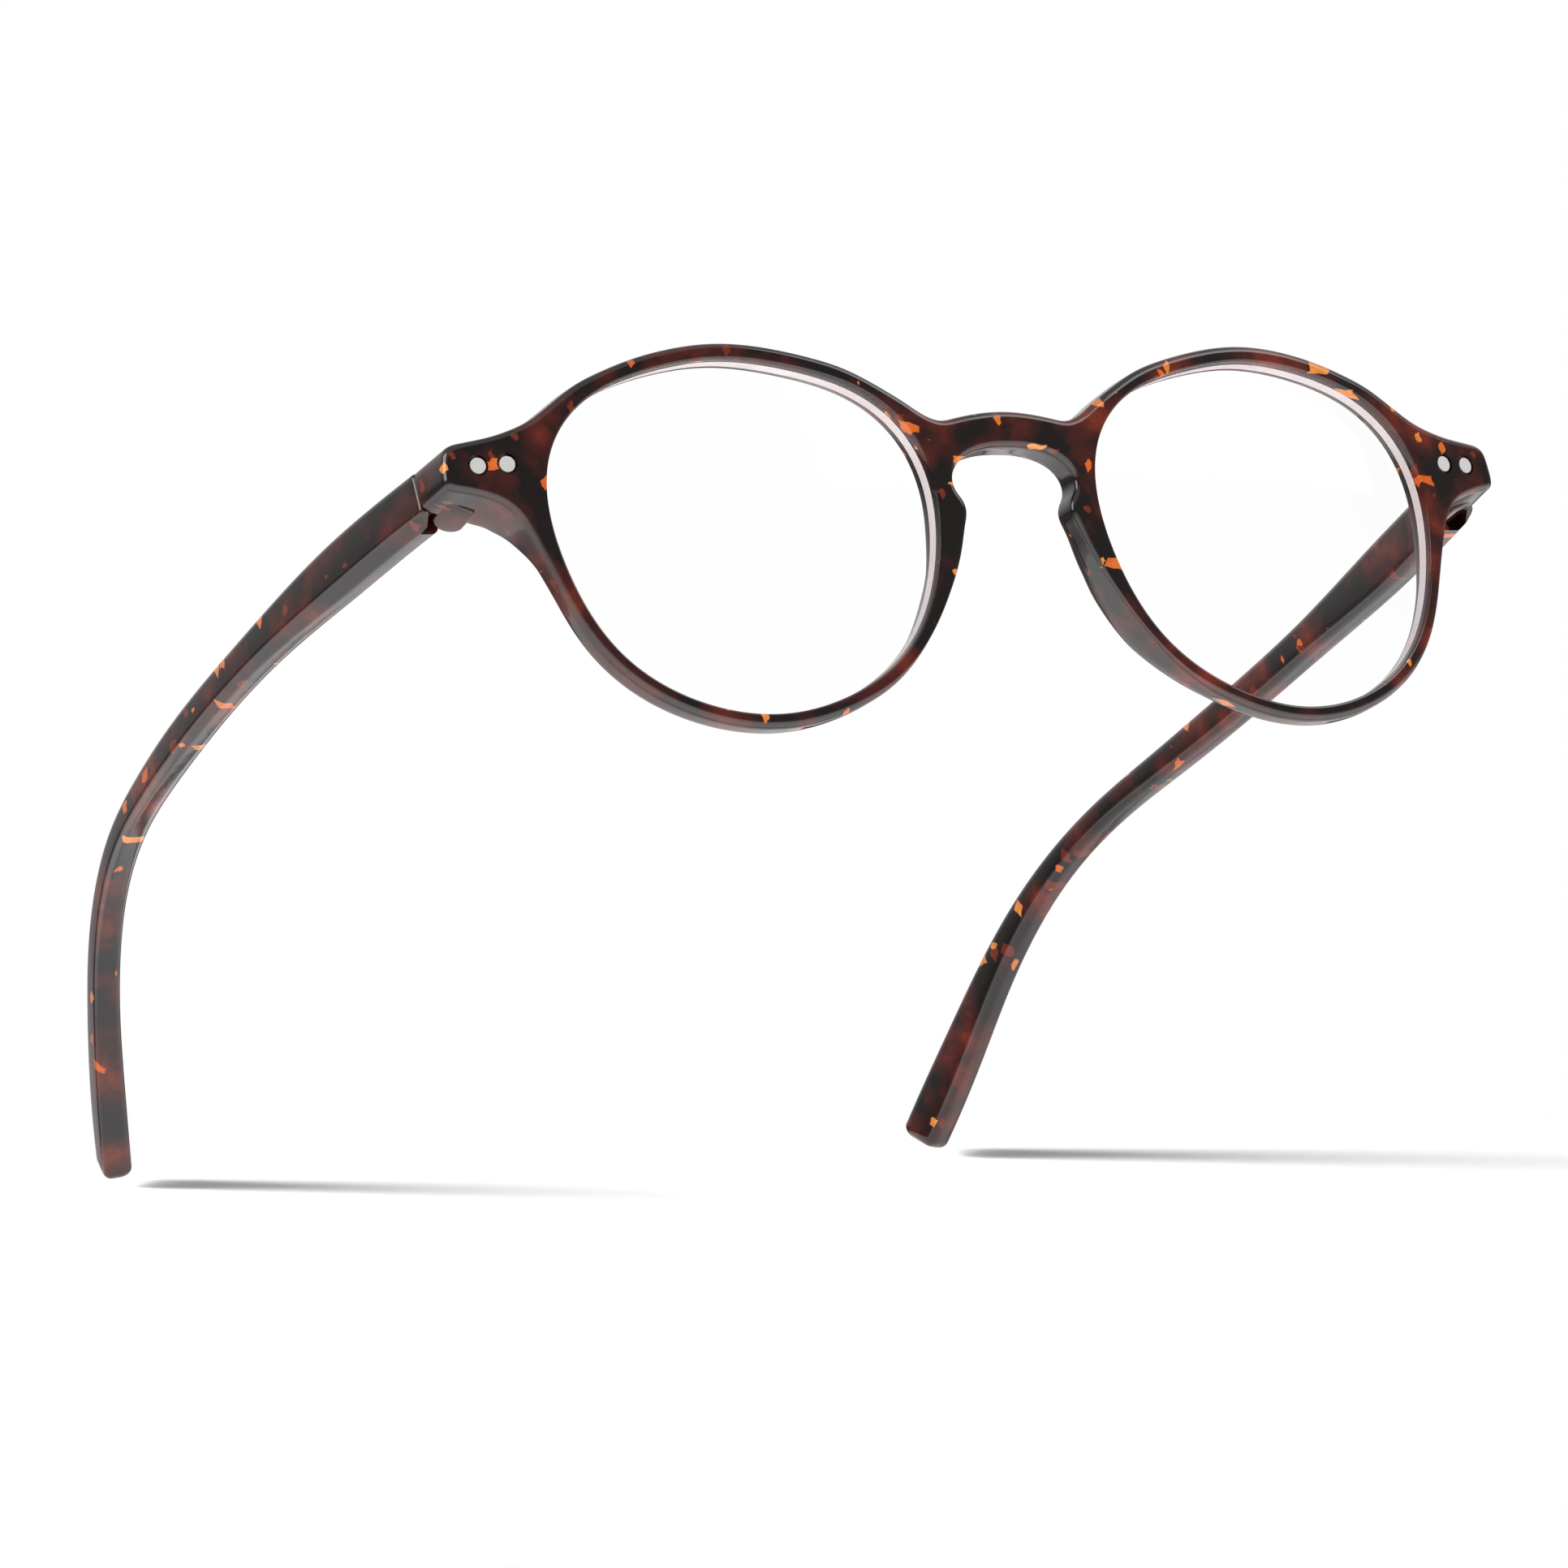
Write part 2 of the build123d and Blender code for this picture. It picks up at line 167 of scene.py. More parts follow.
def left_of_travel(loop):
    along = np.roll(loop, -1, axis=0) - np.roll(loop, 1, axis=0)
    along /= np.linalg.norm(along, axis=1)[:, None]
    return np.stack([-along[:, 1], along[:, 0]], axis=1)


def outer_loop():
    top = mirrored(BRIDGE_TOP + [eye_point(a, RIM_WIDTH) for a in range(140, 50, -11)] + END_TOP)
    low = mirrored(NOSE + [eye_point(a, LOW_RIM_WIDTH) for a in range(-127, -10, 12)] + END_BOTTOM[::-1])
    path = np.vstack([spline_through(low, FINE_STEP), spline_through(top, FINE_STEP)[::-1]])
    loop = resampled(path, OUTLINE_STEP)
    return rounded_at(loop, smoothstep(np.abs(loop[:, 0]), *CORNER_ZONE), CORNER_ROUNDS)


def eye_loop(side, grow=0.0, step=OUTLINE_STEP):
    t = np.linspace(0, 2 * math.pi, EYE_SAMPLES, endpoint=False)
    r = eye_radius(t) + grow
    path = np.stack([side * (EYE_X + r * np.cos(t)), EYE_Z + r * np.sin(t)], axis=1)
    return resampled(path if side > 0 else path[::-1], step)


# ---- from the front's own plane to the rest pose ----
LEAN_FROM_DEPTH = 0.9
LEAN_DOWN = 0.18
SPREAD_ZONE = (66.5, 68.3)
SPREAD_LOW = 0.04
SPREAD_RISE = 0.026
SPREAD_FROM_Z = 11.3


def stood(x, y, z):
    """Tilts a spot of the upright front into the rest pose."""
    row_y = y * math.cos(TILT) - z * math.sin(TILT) - MIDDLE_Y
    row_z = y * math.sin(TILT) + z * math.cos(TILT) + LIFT
    return np.stack([x, row_y, row_z], axis=-1)


def to_rest(x, z, depth):
    """Wraps the flat front round its curve, leans the end pieces down towards the seam, and tilts it."""
    ax = np.abs(x)
    back = np.maximum(depth - LEAN_FROM_DEPTH, 0)
    lean = smoothstep(ax, *END_ZONE)
    z_moved = z - LEAN_DOWN * lean * back
    spread = smoothstep(ax, *SPREAD_ZONE) * (SPREAD_LOW + SPREAD_RISE * np.maximum(z - SPREAD_FROM_Z, 0))
    x_moved = x + np.sign(x) * spread * back
    return stood(x_moved, x * x / (2 * WRAP_R) + depth, z_moved)


SEAM_Y = 10.10
RIM_DEPTH_ZONE = (-2.0, 6.0)
BOSS_ZONE = (58.6, 61.6)


def depth_of(x, z):
    """How deep the moulding is behind each spot of the front surface."""
    ax = np.abs(x)
    rim = FULL_DEPTH - (FULL_DEPTH - LOW_DEPTH) * (1 - smoothstep(z, *RIM_DEPTH_ZONE))
    seam = (SEAM_Y + z * math.sin(TILT)) / math.cos(TILT) - ax * ax / (2 * WRAP_R)
    return rim + (seam - rim) * smoothstep(ax, *BOSS_ZONE)


# ---- edge profiles: inward distance and depth, from the front face round to the back face ----
FRONT_ROUND = 0.72
FRONT_ROUND_END = 0.06
FRONT_ROUND_PAD = 0.3
BACK_ROUND = 0.6
BACK_ROUND_LOW = 0.45
BACK_ROUND_END = 0.35
BACK_ROUND_NOSE = 0.15
LOWER_ZONE = (2.0, 9.0)
NOSE_X_ZONE = (-9.8, -8.6)
NOSE_Z_ZONE = (4.0, 7.5)
FRONT_END_ZONE = (64.0, 67.5)
FRONT_MARGIN = 0.1
BACK_MARGINS = (0.06, 0.12, 0.18)
FRONT_ARC_ROWS = 7
BACK_ARC_ROWS = 8


def outer_profile(loop):
    ax = np.abs(loop[:, 0])
    z = loop[:, 1]
    depth = depth_of(loop[:, 0], z)
    lower = 1 - smoothstep(z, *LOWER_ZONE)
    at_end = smoothstep(ax, *END_ZONE)
    front_r = FRONT_ROUND + FRONT_ROUND_END * smoothstep(ax, *FRONT_END_ZONE)
    front_r = front_r - FRONT_ROUND_PAD * pad_amount(loop)
    back_r = BACK_ROUND + BACK_ROUND_LOW * lower * (1 - at_end) - BACK_ROUND_END * at_end
    nose = smoothstep(-ax, *NOSE_X_ZONE) * smoothstep(z, *NOSE_Z_ZONE)
    back_r = back_r - BACK_ROUND_NOSE * nose
    rows = [(front_r + FRONT_MARGIN, 0 * depth)]
    for a in np.linspace(0, math.pi / 2, FRONT_ARC_ROWS):
        rows.append((front_r * (1 - math.sin(a)), front_r * (1 - math.cos(a))))
    for f in (0.25, 0.5, 0.75):
        rows.append((0 * depth, front_r + f * (depth - back_r - front_r)))
    for a in np.linspace(0, math.pi / 2, BACK_ARC_ROWS):
        rows.append((back_r * (1 - math.cos(a)), depth - back_r * (1 - math.sin(a))))
    for margin in BACK_MARGINS:
        rows.append((back_r + margin, depth))
    return np.array([r[0] for r in rows]), np.array([r[1] for r in rows])


PAD_SHAPE = [(0.0, 0.45), (0.0, 1.4), (0.01, 2.4), (0.04, 3.3), (0.12, 4.0), (0.30, 4.65), (0.62, 5.15),
             (1.05, 5.36), (1.48, 5.2), (1.85, 4.85), (2.1, 4.35), (2.25, 3.8), (2.36, 3.3)]
FRONT_ROWS = FRONT_ARC_ROWS + 1
PAD_HEIGHTS = [(-15.6, 0.0), (-14.0, 0.12), (-12.4, 0.33), (-10.1, 0.62), (-7.6, 0.95), (-4.9, 1.0),
               (-1.8, 0.98), (1.4, 0.72), (2.8, 0.56), (4.8, 0.22), (6.2, 0.0)]
PAD_STEP = 0.05
PAD_RUN_OUT = 12
PAD_MAX_X = 28
PAD_BLUR = 15
LIP = 0.22
LIP_MARGIN = 0.08


def pad_profile(loop, rows, base_depth):
    shape = spline_through(PAD_SHAPE, PAD_STEP)
    run = np.r_[0, np.cumsum(np.linalg.norm(np.diff(shape, axis=0), axis=1))]
    places = np.linspace(0, run[-1], rows)
    spread = np.ones(len(loop))
    d = np.interp(places, run, shape[:, 0])[:, None] * spread
    t = np.interp(places, run, shape[:, 1])[:, None] * spread
    last = np.linspace(0, 1, rows)[:, None] ** PAD_RUN_OUT
    return d, t + last * (base_depth - t[-1])


def pad_amount(loop):
    ax = np.abs(loop[:, 0])
    z = loop[:, 1]
    places = [p[0] for p in PAD_HEIGHTS]
    amount = np.interp(z, places, [p[1] for p in PAD_HEIGHTS])
    amount = np.where(ax < PAD_MAX_X, amount, 0)
    kernel = np.hanning(PAD_BLUR)
    kernel /= kernel.sum()
    half = PAD_BLUR // 2
    wide = np.r_[amount[-half:], amount, amount[:half]]
    return np.convolve(wide, kernel, "valid")


def hole_profile(depth):
    flat = 0 * depth
    rows = [(LIP + LIP_MARGIN, flat), (LIP, flat), (LIP * 0.35, flat + LIP * 0.3), (flat, flat + LIP)]
    rows += [(flat, LIP + f * (depth - 2 * LIP)) for f in (0.25, 0.5, 0.75, 1.0)]
    rows += [(flat + LIP * 0.35, depth - LIP * 0.3), (flat + LIP, depth), (LIP + LIP_MARGIN, depth)]
    wide = [(np.broadcast_to(d, depth.shape), np.broadcast_to(t, depth.shape)) for d, t in rows]
    return np.array([r[0] for r in wide]), np.array([r[1] for r in wide])


# ---- mesh building ----
class Shell:
    def __init__(self):
        self.points = []
        self.faces = []
        self.count = 0

    def add(self, points):
        self.points.append(np.asarray(points, float))
        first = self.count
        self.count += len(points)
        return np.arange(first, self.count)

    def band(self, low, high, flip=False):
        n = len(low)
        for i in range(n):
            j = (i + 1) % n
            quad = (low[i], low[j], high[j], high[i])
            self.faces.append(quad[::-1] if flip else quad)

    def fan(self, ring, centre, flip=False):
        n = len(ring)
        for i in range(n):
            tri = (ring[i], ring[(i + 1) % n], centre)
            self.faces.append(tri[::-1] if flip else tri)

    def cap(self, ring, flip=False):
        middle = self.add([np.vstack(self.points)[ring].mean(axis=0)])[0]
        self.fan(ring, middle, flip)

    def build(self, name):
        mesh = bpy.data.meshes.new(name)
        points = np.vstack(self.points) * MM
        mesh.from_pydata([tuple(p) for p in points], [], [tuple(int(i) for i in f) for f in self.faces])
        made = bmesh.new()
        made.from_mesh(mesh)
        bmesh.ops.recalc_face_normals(made, faces=made.faces)
        made.to_mesh(mesh)
        made.free()
        return mesh


def inside(points, loop):
    x, z = points[:, 0][:, None], points[:, 1][:, None]
    x1, z1 = loop[:, 0][None], loop[:, 1][None]
    x2, z2 = np.roll(loop[:, 0], -1)[None], np.roll(loop[:, 1], -1)[None]
    crossing = (z1 > z) != (z2 > z)
    slope = np.where(crossing, (x2 - x1) / np.where(z2 == z1, 1, z2 - z1), 0)
    return (np.sum(crossing & (x < x1 + slope * (z - z1)), axis=1) % 2) == 1


def clearance(points, loops):
    nearest = np.full(len(points), np.inf)
    for loop in loops:
        for part in np.array_split(np.arange(len(points)), 8):
            gap = np.linalg.norm(points[part][:, None] - loop[None], axis=2).min(axis=1)
            nearest[part] = np.minimum(nearest[part], gap)
    return nearest


def filled(loops, step):
    """Triangles between the first loop and the holes inside it, with a grid of extra points."""
    outer = loops[0]
    low = outer.min(axis=0)
    high = outer.max(axis=0)
    xs = np.arange(low[0] + step * 0.37, high[0], step)
    zs = np.arange(low[1] + step * 0.41, high[1], step * 0.87)
    gx, gz = np.meshgrid(xs, zs)
    gx[1::2] += step / 2
    grid = np.stack([gx.ravel(), gz.ravel()], axis=1)
    keep = inside(grid, outer)
    for hole in loops[1:]:
        keep &= ~inside(grid, hole)
    grid = grid[keep]
    grid = grid[clearance(grid, loops) > step * 0.45]
    points = np.vstack(list(loops) + [grid])
    edges = []
    first = 0
    for loop in loops:
        n = len(loop)
        edges += [(first + i, first + (i + 1) % n) for i in range(n)]
        first += n
    made = delaunay_2d_cdt([Vector(p) for p in points], edges, [], 0, 1e-6)
    places = np.array([tuple(v) for v in made[0]])
    origin = [o[0] if o else -1 for o in made[3]]
    faces = np.array([f for f in made[2] if len(f) == 3])
    middle = places[faces].mean(axis=1)
    keep = inside(middle, outer)
    for hole in loops[1:]:
        keep &= ~inside(middle, hole)
    return grid, [tuple(origin[i] for i in f) for f in faces[keep]]


RIM_ROOM = 0.42


def front_shell():
    shell = Shell()
    outer = outer_loop()
    inward = left_of_travel(outer)
    d, t = outer_profile(outer)
    amount = pad_amount(outer)
    pad_d, pad_t = pad_profile(outer, len(d) - FRONT_ROWS, t[-1])
    d[FRONT_ROWS:] += amount * (pad_d - d[FRONT_ROWS:])
    t[FRONT_ROWS:] += amount * (pad_t - t[FRONT_ROWS:])
    room = clearance(outer, [eye_loop(1), eye_loop(-1)]) - RIM_ROOM
    d = d * np.minimum(1, room / d[-1])
    loops = [(outer, inward, d, t)]
    for side in (1, -1):
        eye = eye_loop(side)
        depth = depth_of(eye[:, 0], eye[:, 1])
        hole_d, hole_t = hole_profile(depth)
        loops.append((eye, -left_of_travel(eye), hole_d, hole_t))
    front_rings, back_rings, front_flat, back_flat = [], [], [], []
    for number, (loop, normal, d, t) in enumerate(loops):
        rings = []
        for k in range(len(d)):
            flat = loop + normal * d[k][:, None]
            rings.append(shell.add(to_rest(flat[:, 0], flat[:, 1], t[k])))
            if k == 0:
                front_flat.append(flat)
            if k == len(d) - 1:
                back_flat.append(flat)
        for low, high in zip(rings, rings[1:]):
            shell.band(low, high, flip=number == 0)
        front_rings.append(rings[0])
        back_rings.append(rings[-1])
    for flats, rings, is_back in ((front_flat, front_rings, False), (back_flat, back_rings, True)):
        grid, faces = filled(flats, GRID_STEP)
        depth = depth_of(grid[:, 0], grid[:, 1]) if is_back else 0 * grid[:, 0]
        extra = shell.add(to_rest(grid[:, 0], grid[:, 1], depth))
        names = np.concatenate(rings + [extra])
        for face in faces:
            tri = tuple(names[i] for i in face)
            shell.faces.append(tri[::-1] if is_back else tri)
    return shell.build("front_frame_shell")


# ---- bodies cut from and added to the shells ----
def turned(name, plane, profile, segments=64):
    """A solid of revolution about the plane's third axis, from (radius, height) rows."""
    shell = Shell()
    centre, across, up, axis = plane
    angles = np.linspace(0, 2 * math.pi, segments, endpoint=False)
    rings = []
    for radius, height in profile:
        circle = np.cos(angles)[:, None] * across + np.sin(angles)[:, None] * up
        rings.append(shell.add(centre + axis * height + circle * radius))
    for low, high in zip(rings, rings[1:]):
        shell.band(low, high)
    first = shell.add([centre + axis * profile[0][1]])[0]
    last = shell.add([centre + axis * profile[-1][1]])[0]
    shell.fan(rings[0], first, flip=True)
    shell.fan(rings[-1], last)
    return shell.build(name)


def prism(name, outline, low, high, bevel=0.0):
    """An outline in plan (row x, y) between two sloping levels, each a function of (x, y)."""
    made = bmesh.new()
    bottom = [made.verts.new(Vector((x, y - MIDDLE_Y, low(x, y))) * MM) for x, y in outline]
    top = [made.verts.new(Vector((x, y - MIDDLE_Y, high(x, y))) * MM) for x, y in outline]
    made.faces.new(bottom[::-1])
    made.faces.new(top)
    n = len(outline)
    for i in range(n):
        j = (i + 1) % n
        made.faces.new((bottom[i], bottom[j], top[j], top[i]))
    bmesh.ops.recalc_face_normals(made, faces=made.faces)
    if bevel:
        sharp = [e for e in made.edges if e.calc_face_angle(0) > 0.6]
        bmesh.ops.bevel(made, geom=sharp, offset=bevel * MM, segments=4, profile=0.5, affect="EDGES")
    mesh = bpy.data.meshes.new(name)
    made.to_mesh(mesh)
    made.free()
    return mesh


def oriented_box(name, plane, sizes, near, far, bevel):
    """A box standing on a plane, from the near to the far distance along its third axis."""
    centre, across, up, axis = plane
    made = bmesh.new()
    bmesh.ops.create_cube(made, size=1)
    for v in made.verts:
        spot = centre + across * v.co.x * sizes[0] + up * v.co.y * sizes[1]
        v.co = Vector(spot + axis * ((near + far) / 2 + v.co.z * (far - near))) * MM
    bmesh.ops.recalc_face_normals(made, faces=made.faces)
    if bevel:
        edges = list(made.edges)
        bmesh.ops.bevel(made, geom=edges, offset=bevel * MM, segments=3, profile=0.5, affect="EDGES")
    mesh = bpy.data.meshes.new(name)
    made.to_mesh(mesh)
    made.free()
    return mesh


def mirrored_mesh(mesh):
    twin = mesh.copy()
    twin.transform(Matrix.Scale(-1, 4, Vector((1, 0, 0))))
    twin.flip_normals()
    return twin


def joined(name, meshes):
    made = bmesh.new()
    for mesh in meshes:
        made.from_mesh(mesh)
    mesh = bpy.data.meshes.new(name)
    made.to_mesh(mesh)
    made.free()
    return mesh


def combined(target, other, operation):
    """The target object's mesh after an exact boolean with another mesh."""
    helper = link(bpy.data.objects.new("helper", other))
    modifier = target.modifiers.new("cut", "BOOLEAN")
    modifier.operation = operation
    modifier.object = helper
    modifier.solver = "EXACT"
    modifier.use_self = operation == "DIFFERENCE"
    bpy.context.view_layer.update()
    result = bpy.data.meshes.new_from_object(target.evaluated_get(bpy.context.evaluated_depsgraph_get()))
    target.modifiers.clear()
    target.data = result
    bpy.data.objects.remove(helper)


def finished(obj, angle=32):
    mesh = obj.data
    made = bmesh.new()
    made.from_mesh(mesh)
    bmesh.ops.remove_doubles(made, verts=made.verts, dist=0.000004)
    bmesh.ops.dissolve_degenerate(made, dist=0.000002, edges=made.edges)
    bmesh.ops.triangulate(made, faces=[f for f in made.faces if len(f.verts) > 4])
    made.to_mesh(mesh)
    made.free()
    mesh.polygons.foreach_set("use_smooth", [True] * len(mesh.polygons))
    mesh.set_sharp_from_angle(angle=math.radians(angle))


# ---- hinge places, in the rest pose ----
AXIS_X = 65.85
AXIS_Y = 10.92
STACK_LOW = 29.6
STACK_HIGH = 33.0
TONGUE_R = 1.65
HEAD_R = 1.1
RIVET_XS = (61.55, 64.9)
RIVET_Z = 13.9
WRAP_TURN = math.radians(9.4)
PLATE_SPOT = (63.3, 13.05)
TONGUE_FRONT_Y = 7.6
TONGUE_BEVEL = 0.3
SLOT_X = (64.1, 67.6)
SLOT_Y = (8.1, 13.3)
POCKET_SIZE = (5.44, 3.44)
POCKET_DEPTHS = (4.18, 5.03)
POCKET_BEVEL = 0.35
WELL_STEPS = [(1.2, -1.5), (1.2, 0.8), (0.91, 0.81), (0.91, 0.95), (0.61, 0.96), (0.61, 4.4)]
X_UNIT = np.array([1.0, 0, 0])
Y_UNIT = np.array([0, 1.0, 0])
Z_UNIT = np.array([0, 0, 1.0])


def rest_point(x, z):
    return stood(x, x * x / (2 * WRAP_R), z)


def tilted(vector):
    return np.array(Matrix.Rotation(TILT, 3, "X") @ Vector(vector))


def front_plane(x, z):
    across = tilted((math.cos(WRAP_TURN), math.sin(WRAP_TURN), 0))
    back = tilted((-math.sin(WRAP_TURN), math.cos(WRAP_TURN), 0))
    return rest_point(x, z), across, np.cross(back, across), back


def tongue_level(spot, normal):
    centre = Matrix.Rotation(TILT, 3, "X") @ Vector(spot) + Vector((0, 0, LIFT))
    slope = Matrix.Rotation(TILT, 3, "X") @ Vector(normal)
    return lambda x, y: centre.z - (slope.x * (x - centre.x) + slope.y * (y - centre.y)) / slope.z


def tongue():
    angles = np.linspace(math.pi, 0, 17)
    arc = [(AXIS_X + TONGUE_R * math.cos(a), AXIS_Y + TONGUE_R * math.sin(a)) for a in angles]
    outline = [(AXIS_X + TONGUE_R, TONGUE_FRONT_Y), (AXIS_X - TONGUE_R, TONGUE_FRONT_Y)] + arc
    low = tongue_level((67.3, 6, 11.15), (-0.40, 0.19, 1))
    high = tongue_level((64, 6, 16.85), (0.15, 0.17, 1))
    return prism("tongue", outline, low, high, TONGUE_BEVEL)


def rectangle(xs, ys):
    return [(xs[0], ys[0]), (xs[1], ys[0]), (xs[1], ys[1]), (xs[0], ys[1])]


def level_at(height):
    return lambda x, y: height


def front_cutters():
    slot = prism("slot", rectangle(SLOT_X, SLOT_Y), level_at(STACK_LOW), level_at(STACK_HIGH))
    axis = (np.array([AXIS_X, AXIS_Y - MIDDLE_Y, 0]), X_UNIT, Y_UNIT, Z_UNIT)
    recess = turned("recess", axis, [(HEAD_R, STACK_HIGH - 0.1), (HEAD_R, STACK_HIGH + 3)])
    spot, across, up, back = front_plane(*PLATE_SPOT)
    pocket = oriented_box("pocket", (spot, across, up, back), POCKET_SIZE, *POCKET_DEPTHS, POCKET_BEVEL)
    wells = []
    for x in RIVET_XS:
        wells.append(turned("well", front_plane(x, RIVET_Z), WELL_STEPS))
    return [slot, recess, pocket] + wells


# ---- temples: a lofted bar with rounded edges and a creased lower outer edge ----
TEMPLE_START = (67.45, 10.07, 30.78)
# Each section: distance along the temple, height, thickness.
SECTIONS = [(0, 6.1, 3.8), (8, 6.1, 3.8), (18, 6.0, 3.7), (28, 5.2, 3.65), (38, 4.35, 3.6),
            (50, 4.05, 3.5), (62, 3.85, 3.5), (74, 3.45, 3.4), (83, 3.3, 3.4), (92, 3.4, 3.3),
            (101, 3.7, 3.3), (110, 4.2, 3.3), (119, 4.8, 3.5), (125.5, 5.1, 3.55), (131.0, 5.0, 3.5)]
HEADING_START = 8.0
HEADING_RATE = 0.205
LATE_RATE = 0.04
LATE_FROM = 45
DIP_START = 0.5
DIP_RATE = 0.05
BEND_FROM = 70
BEND_LENGTH = 48
BEND_DIP = 39
TEMPLE_END = 130.75
TIP_LENGTH = 1.2
NOTCH_X = 68.4
NOTCH_Y = 12.87
TEMPLE_FRONT = 10.17
LINE_STEP = 0.1
RING_STEP = 0.8
TIP_RINGS = 16
END_LIP = 0.22
END_LIP_LENGTH = 0.4
CREASE = 0.24
CREASE_LOSS = 0.14
CREASE_ZONE = (85.0, 118.0)
STRAIGHT_START = 6.0


def heading(s):
    """How far the temple points outwards, s along it."""
    return math.radians(HEADING_START - HEADING_RATE * s - LATE_RATE * max(0, s - LATE_FROM))


def dip(s):
    """How far the temple points down, s along it; the ear bend comes late."""
    t = min(max((s - BEND_FROM) / BEND_LENGTH, 0), 1)
    return math.radians(DIP_START + DIP_RATE * min(s, BEND_FROM) + BEND_DIP * (3 * t * t - 2 * t ** 3))


def temple_line(step):
    spots = [np.array(TEMPLE_START)]
    s = 0.0
    while s < TEMPLE_END - step / 2:
        m = s + step / 2
        along = np.array([math.sin(heading(m)) * math.cos(dip(m)), math.cos(heading(m)) * math.cos(dip(m)),
                          -math.sin(dip(m))])
        spots.append(spots[-1] + along * step)
        s += step
    return np.array(spots)


def section(height, thick, crease):
    """Corner points of the temple's section, outer side on +u, each with the length its rounding takes."""
    low = crease * height
    corners = [((-thick / 2, height / 2), 1.0), ((-thick / 2, -height / 2), 1.3),
               ((thick / 2 - 0.75 * low, -height / 2), 0.3), ((thick / 2, -height / 2 + low), 0.3),
               ((thick / 2, height / 2), 0.8)]
    points = [np.array(c[0]) for c in corners]
    limit = min(thick, height) * 0.45
    out = []
    for i, (spot, cut) in enumerate(corners):
        here = points[i]
        before = points[i - 1] - here
        after = points[(i + 1) % len(points)] - here
        cut_here = min(cut, limit, 0.48 * np.linalg.norm(before), 0.48 * np.linalg.norm(after))
        start = here + before / np.linalg.norm(before) * cut_here
        end = here + after / np.linalg.norm(after) * cut_here
        for u in np.linspace(0, 1, 7):
            out.append((1 - u) ** 2 * start + 2 * u * (1 - u) * here + u * u * end)
    return np.array(out)


def temple_mesh():
    line = temple_line(LINE_STEP)
    places = np.r_[0, 0.08, 0.2, END_LIP_LENGTH, np.arange(1.0, TEMPLE_END - TIP_LENGTH, RING_STEP)]
    tip = TEMPLE_END - TIP_LENGTH * (1 - np.sin(np.linspace(0, math.pi / 2, TIP_RINGS)[:-1]))
    places = np.r_[places, tip]
    smooth_h = spline_through([(s, h) for s, h, t in SECTIONS], 0.5)
    smooth_t = spline_through([(s, t) for s, h, t in SECTIONS], 0.5)
    shell = Shell()
    rings = []
    for s in places:
        height = np.interp(s, smooth_h[:, 0], smooth_h[:, 1])
        thick = 0.997 * np.interp(s, smooth_t[:, 0], smooth_t[:, 1])
        over = max(0.0, (s - (TEMPLE_END - TIP_LENGTH)) / TIP_LENGTH)
        close = math.sqrt(max(0.0, 1 - over ** 2))
        lip = END_LIP * (1 - min(s / END_LIP_LENGTH, 1)) ** 2
        crease = CREASE - CREASE_LOSS * float(smoothstep(s, *CREASE_ZONE))
        turn = heading(s) * min(s / STRAIGHT_START, 1)
        fall = dip(s) * min(s / STRAIGHT_START, 1)
        spot = np.array([np.interp(s, np.arange(len(line)) * LINE_STEP, line[:, k]) for k in range(3)])
        if s == 0:
            spot[1] = TEMPLE_FRONT
        spot[1] = max(spot[1], TEMPLE_FRONT + s * 0.9)
        across = np.array([math.cos(turn), -math.sin(turn), 0])
        along = np.array([math.sin(turn) * math.cos(fall), math.cos(turn) * math.cos(fall), -math.sin(fall)])
        up = np.cross(across, along)
        inset = lip + TIP_LENGTH * 0.95 * (1 - close)
        shape = section(height - 2 * inset, thick - 2 * inset, crease)
        ring = spot + shape[:, :1] * across + shape[:, 1:] * up - [0, MIDDLE_Y, 0]
        rings.append(shell.add(ring))
    for low, high in zip(rings, rings[1:]):
        shell.band(low, high)
    shell.cap(rings[0], flip=True)
    shell.cap(rings[-1])
    return shell.build("temple_shell")


ROD_SPOT = np.array([67.7, 12.87 - MIDDLE_Y, 31.3])
ROD_TURN = math.radians(6.3)


def rod_plane():
    across = np.array([math.cos(ROD_TURN), -math.sin(ROD_TURN), 0])
    along = np.array([math.sin(ROD_TURN), math.cos(ROD_TURN), 0])
    return ROD_SPOT, across, np.cross(along, across), along


CUT_X = 60
CUT_Y = 5
CUT_LOW = 20
CUT_HIGH = 40
CHIN_X = 75
CHIN_BACK = 11.9
CHIN_HIGH = (9.1, 30.64)
CHIN_LOW = (11.92, 26.75)


def chin_level(x, y):
    """The cut that slopes down and back under the front end of the temple."""
    return CHIN_HIGH[1] - (y - CHIN_HIGH[0]) * (CHIN_HIGH[1] - CHIN_LOW[1]) / (CHIN_LOW[0] - CHIN_HIGH[0])


def temple_cutters():
    notch_plan = rectangle((CUT_X, NOTCH_X), (CUT_Y, NOTCH_Y))
    notch = prism("notch", notch_plan, level_at(CUT_LOW), level_at(CUT_HIGH))
    chin_plan = rectangle((CUT_X, CHIN_X), (CUT_Y, CHIN_BACK))
    chin = prism("chin", chin_plan, level_at(CUT_LOW), chin_level)
    housing = oriented_box("housing", rod_plane(), (2.22, 2.92), -0.5, 9.02, 0.0)
    tail = oriented_box("tail", rod_plane(), (1.92, 2.72), 9.0, 15.55, 0.0)
    return [notch, chin, housing, tail]


# ---- lenses: a front and a back curve meeting a frosted ground edge ----
LENS_FRONT_R = 130.0
LENS_BACK_R = 190.0
LENS_BULGE = 0.4
LENS_CENTRE_T = 2.0
EDGE_SLACK = 0.03


